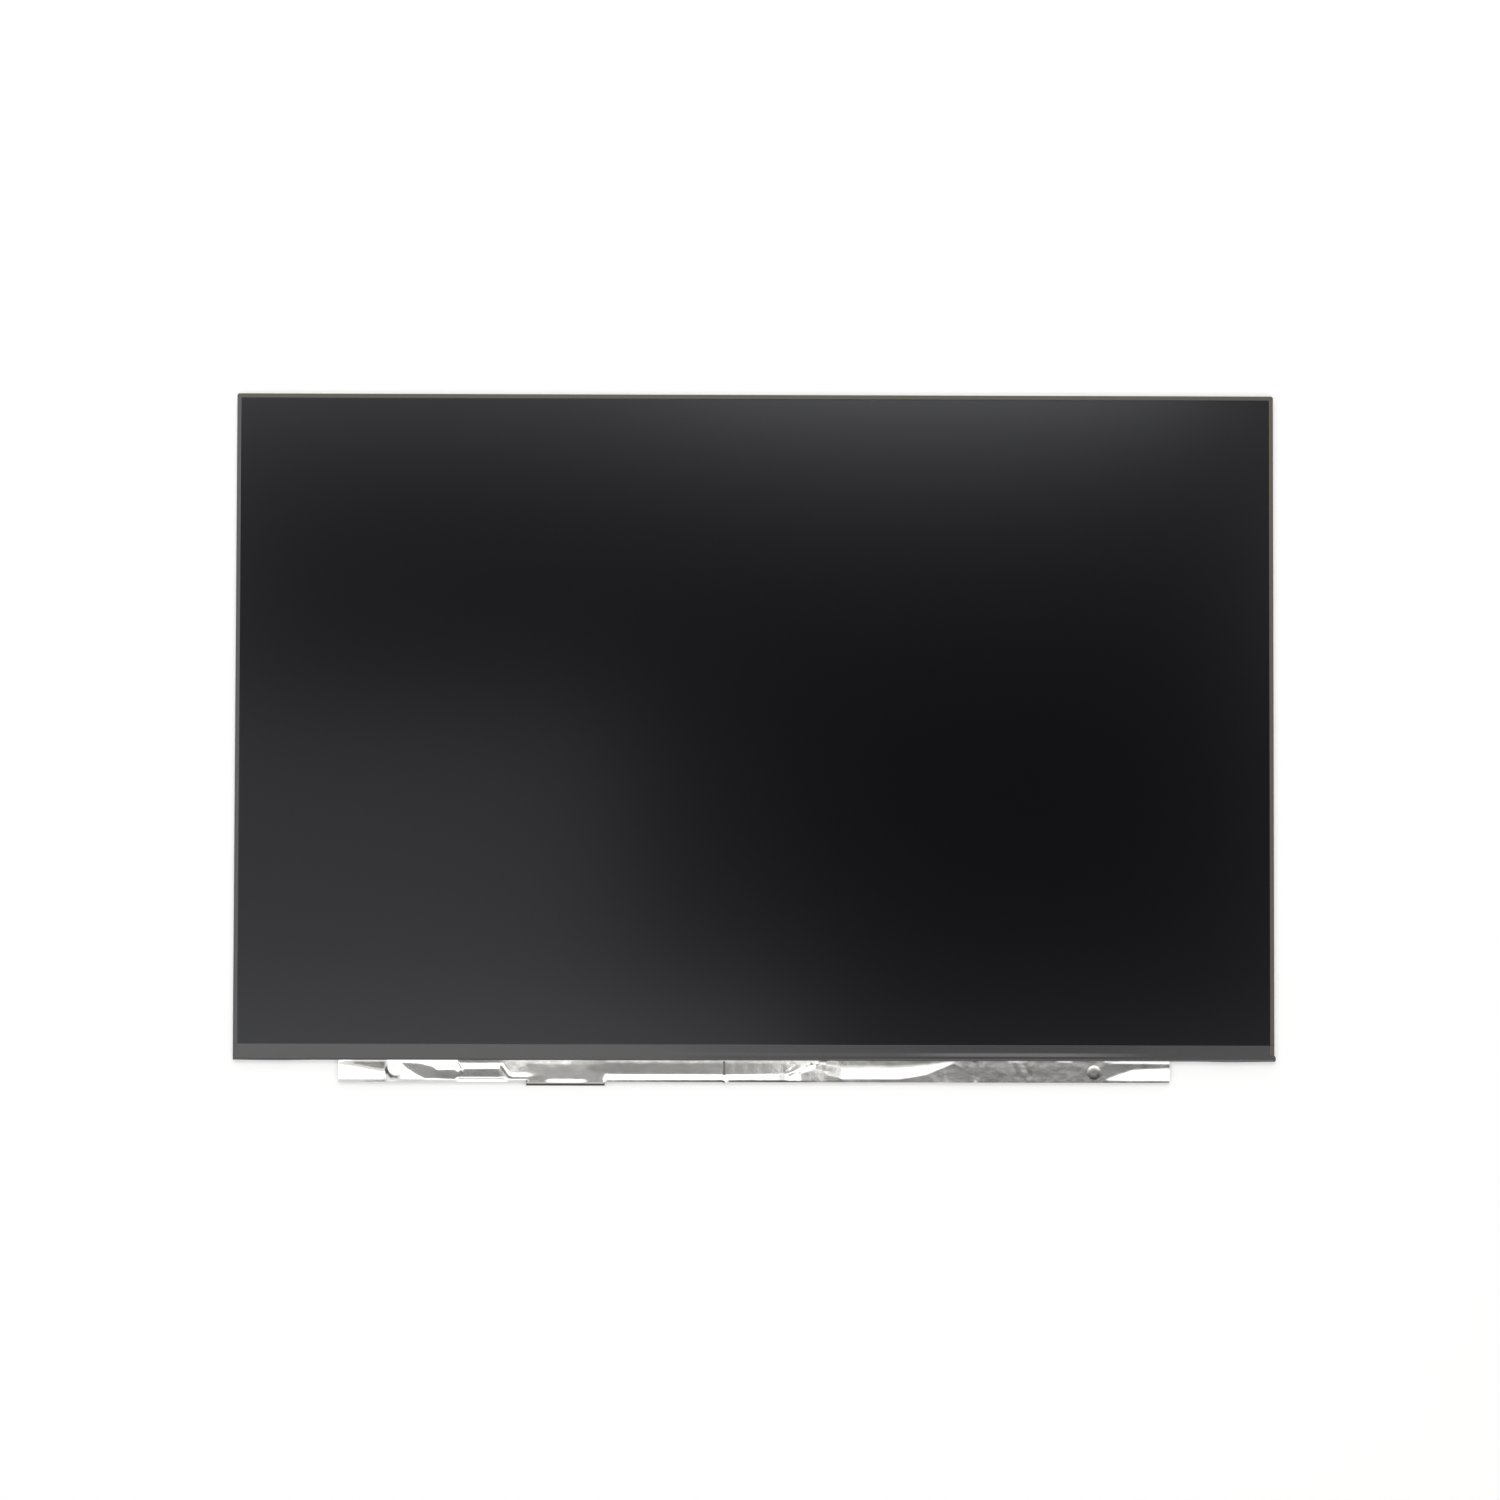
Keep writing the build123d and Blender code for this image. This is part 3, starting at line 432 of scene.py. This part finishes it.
# %% Height of the foil at a place
def crease_profile(row):
    """The points of one crease: reach below the panel's edge, and height."""
    _, height, *runs = row
    reach = foil_start
    points = [(reach, height)]
    for end, slope in runs:
        height += (end - reach) * tan(radians(slope))
        reach = end
        points.append((reach, height))
    return points


profiles = [crease_profile(row) for row in foil_creases]


def profile_at(place):
    """The profile between the two nearest creases."""
    number = 0
    while number < len(foil_creases) - 2 and place > foil_creases[number + 1][0]:
        number += 1
    left, right = foil_creases[number][0], foil_creases[number + 1][0]
    share = (place - left) / (right - left)
    pairs = zip(profiles[number], profiles[number + 1])
    return [(a[0] + (b[0] - a[0]) * share, a[1] + (b[1] - a[1]) * share) for a, b in pairs]


def height_on(profile, reach):
    """The height of a profile at a reach."""
    for (start, low), (end, high) in zip(profile, profile[1:]):
        if reach <= end:
            return low + (high - low) * (reach - start) / (end - start)
    return profile[-1][1]


def fold_height(place, reach):
    """What the sharp folds and the round bumps add to the foil's height."""
    added = 0.0
    for x0, v0, x1, v1, height, left_width, right_width in foil_folds:
        run_x, run_v = x1 - x0, v1 - v0
        along = ((place - x0) * run_x + (reach - v0) * run_v) / (run_x ** 2 + run_v ** 2)
        along = min(max(along, 0.0), 1.0)
        off_x, off_v = place - x0 - along * run_x, reach - v0 - along * run_v
        width = right_width if off_x * run_v > off_v * run_x else left_width
        added += height * max(0.0, 1 - hypot(off_x, off_v) / width)
    for x, v, radius, height, flatness in foil_bumps:
        away = hypot(place - x, reach - v) / radius
        added += height * max(0.0, 1 - away ** flatness)
    return added


# Crinkles: their width along and across the board, then their height.
CRINKLES = [(1.9, 6.0, 0.004), (2.6, 2.6, 0.009), (0.9, 0.9, 0.002)]


def crinkle(place, reach):
    """Fine unevenness of soft foil, as wide as a fingertip's marks."""
    return sum(height * noise.noise((place / wide, reach / deep, wide)) for wide, deep, height in CRINKLES)


print("foil height at the middle:", round(height_on(profile_at(0.0), 3.0), 3), "mm")

# %% Push a fine grid into the shape of the foil
foil_half_width = 139.7
foil_columns = 1100
foil_rows = 32
grid_foot = -0.4999
smoothing_passes = 3
smoothing_share = 0.5
sheet = bmesh.new()
bmesh.ops.create_grid(sheet, x_segments=foil_columns, y_segments=foil_rows, size=0.5)
lower_row = [vert for vert in sheet.verts if vert.co.y < grid_foot]
places = {}
for vert in sheet.verts:
    place = 2 * foil_half_width * vert.co.x
    profile = profile_at(place)
    reach = profile[0][0] + (profile[-1][0] - profile[0][0]) * (0.5 - vert.co.y)
    places[vert] = (place, reach)
    vert.co = Vector((place, panel_edge_y - reach, height_on(profile, reach))) * MM
inner = [vert for vert in sheet.verts if not vert.is_boundary]
for _ in range(smoothing_passes):
    bmesh.ops.smooth_vert(sheet, verts=inner, factor=smoothing_share, use_axis_z=True)
for vert, (place, reach) in places.items():
    vert.co.z += (fold_height(place, reach) + crinkle(place, reach)) * MM
# Faces inside the band take the second material, a dark grey that is painted shade of a crease.
band_left, band_right, band_top, band_foot = crease_shade_band
for face in sheet.faces:
    middle = face.calc_center_median() / MM
    if band_left < middle.x < band_right and band_top < panel_edge_y - middle.y < band_foot:
        face.material_index = 1
print("foil grid:", len(sheet.faces), "faces")

# %% Wrap the lower edge round the board
def soften(mesh_data):
    """Smooth faces with sharp outer edges, so that the edges don't bend the shading."""
    for face in mesh_data.faces:
        face.smooth = True
    for one in mesh_data.edges:
        if one.is_boundary:
            one.smooth = False


# The notch leaves the connector's mouth free.
notch_left, notch_right = -78.2, -48.6
# Each step of the wrap: how far inwards of the edge it goes, and its height.
wrap_steps = [(-0.02, 1.5), (-0.02, 1.12), (0.05, 1.07), (1.3, 1.07)]
edge = [one for one in sheet.edges if one.is_boundary and all(vert in lower_row for vert in one.verts)]
edge = [one for one in edge
        if all(not notch_left < vert.co.x / MM < notch_right for vert in one.verts)]
fold_y = {}
for inward, height in wrap_steps:
    for one in edge:
        one.smooth = False
    made = bmesh.ops.extrude_edge_only(sheet, edges=edge)["geom"]
    for vert in [item for item in made if isinstance(item, bmesh.types.BMVert)]:
        key = round(vert.co.x / MM, 3)
        fold_y.setdefault(key, vert.co.y)
        vert.co.y = fold_y[key] + inward * MM
        vert.co.z = height * MM
    new_verts = {item for item in made if isinstance(item, bmesh.types.BMVert)}
    edge = [item for item in made if isinstance(item, bmesh.types.BMEdge) and set(item.verts) <= new_verts]
bmesh.ops.recalc_face_normals(sheet, faces=sheet.faces)
if sum(face.normal.z for face in sheet.faces) < 0:
    bmesh.ops.reverse_faces(sheet, faces=sheet.faces)
soften(sheet)
print("wrapped foil:", len(sheet.faces), "faces")

# %% [markdown]
# The foil's thickness comes from a Solidify modifier that grows it inwards, so the shaped side stays where it is.

# %% Make the foil an object
# The foil is a bright mirror that its rolling marks blur a little. The dark band is a dull dark grey, painted
# shade of a crease.
foil_sheet_mm = 0.04
foil_metal = grained("soft bright aluminium foil", "#e4e3df", "#efeeeb", 0.7, (0.115, 0.145), 0.002,
                     Metallic=1.0)
foil = make_piece("creased_foil", sheet, foil_metal, "foil_shield")
# This dark grey is painted shade of a crease in the foil.
crease_shade = grained("dark painted crease shade", "#62605c", "#72706b", 0.3, (0.3, 0.4), 0.003)
foil.data.materials.append(crease_shade)
thickness = foil.modifiers.new("foil thickness", "SOLIDIFY")
thickness.thickness = foil_sheet_mm * MM
thickness.offset = -1

# %% [markdown]
# ## The ledge tape
# A strip of matt grey-black tape covers the chips along the lower edge of the glass and rolls over the edge of
# the frame. It was laid by hand: its rolled edge waves a little, a low ridge runs along it where it bridges
# the gap to the frame, and its right end is folded round the corner into a small nub. Again a grid takes the
# shape, this time of a flat run followed by an arc. The tails of the edge tapes cover its two ends, so the faces
# there take the finish of those tapes.

# %% Shape the ledge tape
tape_half_width = 175.0
tape_top_y = -106.825
tape_roll_y = -111.775
tape_top_z = 2.28
roll_radius = 0.53
roll_angle = radians(46.5)
flat_length = tape_top_y - tape_roll_y
tape_length = flat_length + roll_radius * roll_angle
# How strong the ridge is at places along the tape, and its height at reaches from the tape's upper edge.
ridge_strengths = [(-175, 0), (-30, 0), (-15, 0.4), (5, 0.4), (20, 0.2), (50, 0.3), (66, 1), (105, 1), (135, 0),
                   (175, 0)]
ridge_profile = [(0.4, 0.0), (2.7, 0.06), (4.0, -0.05), (4.4, 0.0)]
# Where the rolled edge bulges: place, size and spread.
edge_bulges = [(-161.0, 0.25, 9.0), (161.0, 0.3, 9.0)]
nub_reach, nub_half_length, nub_overhang, nub_run, nub_drop = 4.45, 1.0, 0.5, 2.5, 0.25
wave_height, wave_length, wave_row = 0.10, 14.0, 3.1
tape_columns, tape_rows = 700, 26
tape_sheet_mm = 0.07

strip = bmesh.new()
bmesh.ops.create_grid(strip, x_segments=tape_columns, y_segments=tape_rows, size=0.5)
for vert in strip.verts:
    place = 2 * tape_half_width * vert.co.x
    reach = tape_length * (0.5 - vert.co.y)
    loose = wave_height * max(0.0, noise.noise((place / wave_length, wave_row, 0.0)))
    loose += sum(size * exp(-((place - middle) / spread) ** 2) for middle, size, spread in edge_bulges)
    if reach <= flat_length:
        y, z = tape_top_y - reach, tape_top_z
    else:
        turn = (reach - flat_length) / roll_radius
        radius = roll_radius + loose * turn / roll_angle
        y = tape_roll_y - radius * sin(turn)
        z = tape_top_z - roll_radius + roll_radius * cos(turn)
    if ridge_profile[0][0] < reach < ridge_profile[-1][0]:
        z += height_on(ridge_strengths, place) * height_on(ridge_profile, reach)
    nub = max(0.0, 1 - ((reach - nub_reach) / nub_half_length) ** 2) ** 0.5
    nub *= max(0.0, 1 + (place - tape_half_width) / nub_run) ** 2
    x = place + nub_overhang * nub
    over = max(0.0, x - tape_half_width) / nub_overhang
    vert.co = Vector((x, y, z - nub_drop * over ** 2)) * MM
tail_start = 173.4
tail_end_y = -110.2
for face in strip.faces:
    middle = face.calc_center_median() / MM
    if abs(middle.x) > tail_start and (middle.x < 0 or middle.y > tail_end_y):
        face.material_index = 1 if middle.x < 0 else 2
soften(strip)
if sum(face.normal.z for face in strip.faces) < 0:
    bmesh.ops.reverse_faces(strip, faces=strip.faces)
# Dark grey with a low wide sheen.
tape_cloth = grained("grey-black matt polyester tape", "#3f3f41", "#484849", 0.6, (0.18, 0.22), 0.003,
                     IOR=1.6)
tape = make_piece("ledge_tape_strip", strip, tape_cloth, "ledge_tape")
tape.data.materials.append(grey_tape)
tape.data.materials.append(olive_tape)
tape_thickness = tape.modifiers.new("tape thickness", "SOLIDIFY")
tape_thickness.thickness = tape_sheet_mm * MM
tape_thickness.offset = -1

# %% [markdown]
# ## Camera
# The photograph is taken from straight above with a long lens, from about a metre away, a little nearer to the
# lower edge, and turned by a seventh of a degree. The camera's three axes are worked out from where it stands
# and the point it looks at, because looking straight down leaves Blender's own tracking no up direction.

# %% Place the camera
camera_place = Vector((-0.00671, -0.03539, 1.0))
camera_aim = Vector((-0.0016, -0.00772, 0.0))
camera_roll = radians(0.142)
camera_data = bpy.data.cameras.new("camera")
camera_data.sensor_width = 36.0
camera_data.lens = 71.1
camera = bpy.data.objects.new("camera", camera_data)
scene.collection.objects.link(camera)
back = (camera_place - camera_aim).normalized()
right = Vector((0, 1, 0)).cross(back).normalized()
up = back.cross(right)
axes = Matrix((right, up, back)).transposed().to_4x4()
camera.matrix_world = Matrix.Translation(camera_place) @ axes @ Matrix.Rotation(camera_roll, 4, "Z")
scene.camera = camera
print("camera lean in degrees:", round(atan2(back.y, back.z) * 180 / pi, 2))

# %% [markdown]
# ## Table and room
# The table is matt white paper. A little light of its own, seen only by the camera, in reflections and through
# clear pieces, lifts it to the photograph's white, and shadows still fall on it. Far from the panel the lamps no
# longer reach it, so there its own light takes over, and the table stays white up to the horizon. The room is
# white near the floor and dark overhead, so the black screen has something dark to reflect.

# %% Table
table_half_size = 6.0
table_gap_mm = 0.05
glow_start, glow_full = 0.5, 2.6
near_glow, far_glow = 0.2, 1.0
floor_mesh = bmesh.new()
bmesh.ops.create_grid(floor_mesh, x_segments=1, y_segments=1, size=table_half_size)
bmesh.ops.translate(floor_mesh, verts=floor_mesh.verts, vec=(0, 0, -table_gap_mm * MM))
floor_data = bpy.data.meshes.new("white_table")
floor_mesh.to_mesh(floor_data)
floor_mesh.free()
floor = bpy.data.objects.new("white_table", floor_data)
scene.collection.objects.link(floor)
paper = bpy.data.materials.new("matt white paper")
paper.use_nodes = True
tree = paper.node_tree
paper_shader = tree.nodes["Principled BSDF"]
paper_shader.inputs["Base Color"].default_value = linear("#f3f3f2")
paper_shader.inputs["Roughness"].default_value = 1.0
paper_shader.inputs["Specular IOR Level"].default_value = 0.0
ray = add_node(tree, "ShaderNodeLightPath")
seen = add_node(tree, "ShaderNodeMath", operation="ADD",
                links={0: ray.outputs["Is Camera Ray"], 1: ray.outputs["Is Glossy Ray"]})
seen = add_node(tree, "ShaderNodeMath", links={0: seen.outputs[0], 1: ray.outputs["Is Transmission Ray"]},
                operation="ADD", use_clamp=True)
spot = add_node(tree, "ShaderNodeTexCoord").outputs["Object"]
away = add_node(tree, "ShaderNodeVectorMath", links={0: spot}, operation="LENGTH").outputs["Value"]
glow = add_node(tree, "ShaderNodeMapRange",
                {"From Min": glow_start, "From Max": glow_full, "To Min": near_glow, "To Max": far_glow},
                {"Value": away})
lift = add_node(tree, "ShaderNodeMath", links={0: seen.outputs[0], 1: glow.outputs[0]}, operation="MULTIPLY")
paper_shader.inputs["Emission Color"].default_value = linear("#ffffff")
tree.links.new(lift.outputs[0], paper_shader.inputs["Emission Strength"])
floor_data.materials.append(paper)
print("table half size in metres:", table_half_size, "own light near and far:", near_glow, far_glow)

# %% Room
world = bpy.data.worlds.new("studio")
scene.world = world
world.use_nodes = True
tree = world.node_tree
way = add_node(tree, "ShaderNodeTexCoord").outputs["Generated"]
height_of_way = add_node(tree, "ShaderNodeSeparateXYZ", links={0: way}).outputs["Z"]
shade = add_node(tree, "ShaderNodeValToRGB", links={0: height_of_way})
ramp = shade.color_ramp
# How bright the room is at rising heights of the view, and overhead.
room_levels = [(0.0, 0.9), (0.25, 0.5), (0.5, 0.12), (0.85, 0.03)]
overhead = 0.02
for place, level in room_levels:
    stop = ramp.elements[0] if place == 0.0 else ramp.elements.new(place)
    stop.position = place
    stop.color = (level, level, level, 1.0)
ramp.elements[-1].color = (overhead, overhead, overhead, 1.0)
tree.links.new(shade.outputs[0], tree.nodes["Background"].inputs["Color"])
print("room levels:", room_levels, "overhead:", overhead)

# %% [markdown]
# ## Lights
# Soft boxes hang on one level over the table. Each is given by its edges and by how bright its face is, because
# the film and the foil mirror that face: the screen shows a broad light along its top and another at its lower
# left, and the foil turns white where it sees a box and grey where it sees the gap between two. A large
# dim light stands behind the top edge, so that the panel throws a short soft shadow below its lower edge.

# %% Hang the soft boxes
BOX_LEVEL = 1.5
# Each box: its left and right end and its near and far edge in metres, then the brightness of its face.
soft_boxes = [
    ("top_right", -0.044, 0.395, 0.366, 1.3, 6.2),
    ("top_left", -1.3, -0.044, 0.332, 1.3, 1.9),
    ("lower_left", -1.3, 0.044, -0.33, -0.195, 2.15),
    ("left_field", -1.3, -0.102, -0.195, 0.068, 0.85),
    ("lower_right", 0.06, 1.1, -0.45, -0.3, 1.5),
    ("far_lower_right", 0.08, 1.1, -1.3, -0.45, 2.6),
    ("right_wall", 0.472, 1.3, -0.3, 0.1, 0.43),
    ("right_wall_high", 0.472, 1.3, 0.1, 0.366, 1.0),
    ("left_wall", -1.3, -0.501, 0.068, 0.332, 1.64),
    ("left_wall_low", -1.3, -0.42, -0.195, 0.068, 1.3),
    ("far_lower_left", -1.3, 0.044, -1.6, -0.8, 1.6),
    ("dim_left", -1.3, 0.06, -0.45, -0.33, 0.26),
    ("far_dim_left", -1.3, 0.08, -0.8, -0.45, 0.15),
    ("dim_right", 0.044, 0.472, -0.262, -0.228, 0.23),
    ("low_dim_right", 0.044, 0.472, -0.3, -0.262, 0.4),
    ("mid_field", -0.102, 0.044, -0.195, 0.068, 0.08),
]


def hang_box(name, width, depth, radiance, place, turn=(0, 0, 0)):
    """A rectangular lamp whose face has the given brightness."""
    lamp = bpy.data.lights.new(name, "AREA")
    lamp.shape = "RECTANGLE"
    lamp.size = width
    lamp.size_y = depth
    lamp.energy = radiance * pi * width * depth
    box = bpy.data.objects.new(name, lamp)
    box.location = place
    box.rotation_euler = turn
    box.visible_camera = False
    scene.collection.objects.link(box)
    print(name, "watts:", round(lamp.energy, 2))


for name, left, right_end, low, high, radiance in soft_boxes:
    middle = ((left + right_end) / 2, (low + high) / 2, BOX_LEVEL)
    hang_box(name, right_end - left, high - low, radiance, middle)
low_place = Vector((0.0, 2.8, 1.4))
low_width, low_depth, low_radiance = 5.0, 2.0, 0.8
low_lean = -atan2(low_place.y, low_place.z)
hang_box("low_back", low_width, low_depth, low_radiance, low_place, (low_lean, 0, 0))
